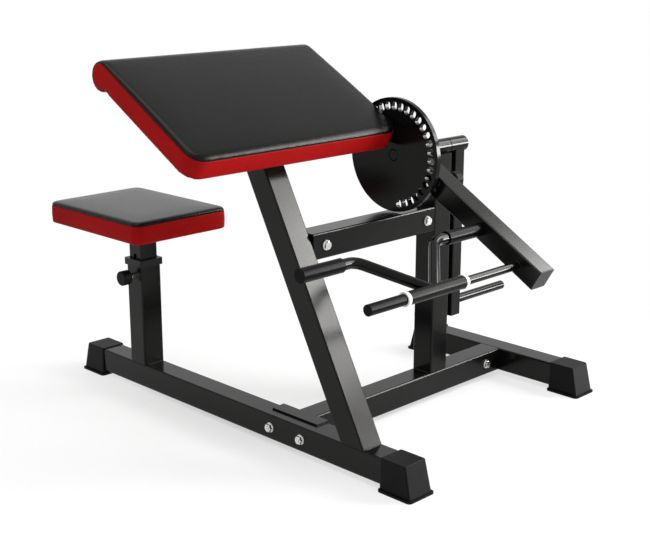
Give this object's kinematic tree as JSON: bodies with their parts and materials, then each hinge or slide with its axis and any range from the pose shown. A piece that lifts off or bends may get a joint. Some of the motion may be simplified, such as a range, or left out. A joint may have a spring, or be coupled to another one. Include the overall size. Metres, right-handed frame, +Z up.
{
  "type": "preacher curl bench",
  "caption": "Plate-loaded preacher curl bench: sloped arm pad, height-adjustable seat, indexed swinging curl arm with a swivel handle, and a weight post on a bolted tube frame.",
  "frame": {"origin": "middle of the bench's box, on the floor", "axes": "+X forward, the way the user faces; +Y to the user's left, towards the curl arm and the weight post; +Z up"},
  "size_m": [1.1996, 1.073, 0.8706],
  "materials": {
    "coated_steel": "satin black powder coat",
    "zinc_steel": "bright zinc plating",
    "bright_steel": "bright turned steel",
    "black_plastic": "fine-textured moulding",
    "white_nylon": "smooth off-white nylon",
    "black_rubber": "matt",
    "board": "raw plywood",
    "vinyl": "grained vinyl over foam, black top panel and red sides"
  },
  "bodies": {
    "frame": {"cross_flange": "coated_steel", "main_base_tube": "coated_steel", "cross_base_tube": "coated_steel", "side_base_tube": "coated_steel", "foot_cap_rear": "black_plastic", "foot_cap_front": "black_plastic", "foot_cap_side_rear": "black_plastic", "foot_cap_side_front": "black_plastic", "side_spigot": "coated_steel", "brace_spigots": "coated_steel", "frame_bolts": "zinc_steel", "frame_washers": "zinc_steel", "frame_nuts": "zinc_steel", "slanted_post": "coated_steel", "arm_pad_plate": "coated_steel", "arm_pad_board": "board", "arm_pad_cushion": "vinyl", "arm_pad_bolts": "zinc_steel", "brace_tube": "coated_steel", "upright_post": "coated_steel", "pivot_bearing_tube": "coated_steel", "pivot_bushes": "black_plastic", "lever_stop_plate": "coated_steel", "lever_stop_bumper": "black_rubber", "seat_post": "coated_steel", "seat_collar": "black_plastic", "seat_pin_bush": "coated_steel", "seat_pin_spring": "bright_steel"},
    "seat": {"seat_stem": "coated_steel", "seat_stem_plug": "black_plastic", "seat_plate": "coated_steel", "seat_board": "board", "seat_cushion": "vinyl", "seat_bolts": "zinc_steel"},
    "seat_pin": {"seat_pin_plunger": "bright_steel", "seat_pin_knob": "black_plastic"},
    "swing": {"swing_axle": "bright_steel", "index_disc": "coated_steel", "lever_hub": "coated_steel", "weight_lever": "coated_steel", "lever_plug": "black_plastic", "weight_post": "coated_steel", "hub_bolt_set": "zinc_steel"},
    "arm": {"arm_tube": "coated_steel", "arm_hub": "coated_steel", "arm_bushes": "white_nylon", "arm_plug_outer": "black_plastic", "arm_plug_inner": "black_plastic", "handle_bar": "coated_steel", "bar_end_sleeve": "black_rubber", "arm_pin_bush": "coated_steel", "arm_pin_spring": "bright_steel"},
    "arm_pin": {"arm_pin_plunger": "bright_steel", "arm_pin_knob": "black_plastic"},
    "handle": {"swivel_tube": "coated_steel", "swivel_rings": "white_nylon", "handle_rod_near": "coated_steel", "handle_rod_far": "coated_steel", "grip_near": "black_rubber", "grip_far": "black_rubber"}
  },
  "joints": [
    {"name": "seat_slide", "type": "slide", "parent": "frame", "child": "seat", "axis": [0, 0, 1], "range_m": [-0.05, 0.1]},
    {"name": "seat_pin_pull", "type": "slide", "parent": "frame", "child": "seat_pin", "axis": [0, -1, 0], "range_m": [0, 0.0045], "stiffness_N_per_m": 800, "springref_m": -0.005, "deforming": ["seat_pin_spring"]},
    {"name": "swing", "type": "hinge", "parent": "frame", "child": "swing", "pos_m": [0.19123, 0.219, 0.633], "axis": [0, -1, 0], "range_deg": [0, 85]},
    {"name": "arm_adjust", "type": "hinge", "parent": "swing", "child": "arm", "pos_m": [0.19123, 0.219, 0.633], "axis": [0, -1, 0], "range_deg": [-20, 60]},
    {"name": "arm_pin_pull", "type": "slide", "parent": "arm", "child": "arm_pin", "axis": [0, 1, 0], "range_m": [0, 0.0045], "stiffness_N_per_m": 800, "springref_m": -0.005, "deforming": ["arm_pin_spring"]},
    {"name": "handle_swivel", "type": "hinge", "parent": "arm", "child": "handle", "pos_m": [0.53488, -0.182, 0.42709], "axis": [0, -1, 0], "continuous": true}
  ]
}
